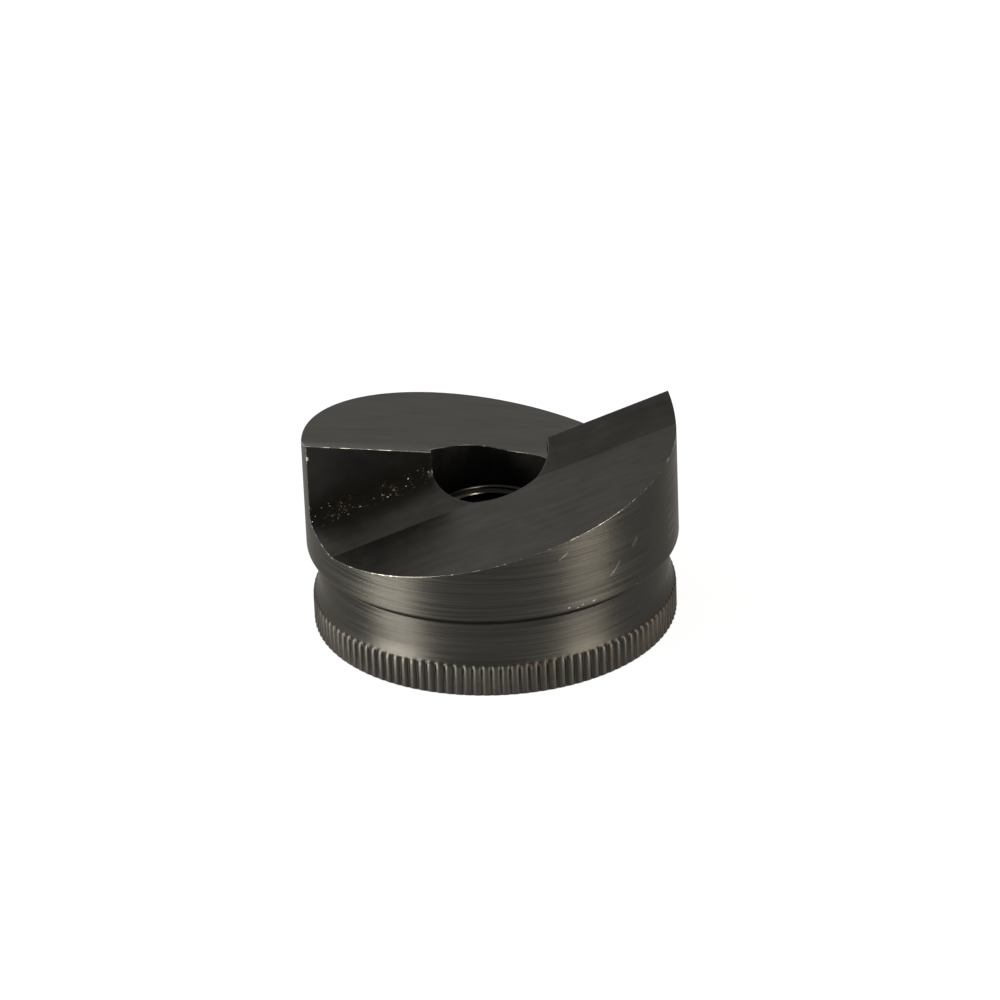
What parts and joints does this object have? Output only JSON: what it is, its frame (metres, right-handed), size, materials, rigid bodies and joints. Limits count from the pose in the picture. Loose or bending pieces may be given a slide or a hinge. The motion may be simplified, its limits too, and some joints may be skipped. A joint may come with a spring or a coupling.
{
  "type": "knockout punch",
  "caption": "Round blackened steel knockout punch with opposed milled cutting wings, a relieved neck, a straight-knurled flange and a central threaded bore for a draw stud.",
  "frame": {"origin": "centre of the flange's flat base, on the punch's axis", "axes": "+Z along the punch's axis towards the cutting wings, +X along the cutting edges, +Y across them"},
  "size_m": [0.0616, 0.0616, 0.0353],
  "materials": {
    "black_oxide_steel": "black oxide over turned and milled tool steel, satin, with fine turning marks"
  },
  "bodies": {
    "root": {"punch": "black_oxide_steel"}
  },
  "joints": []
}
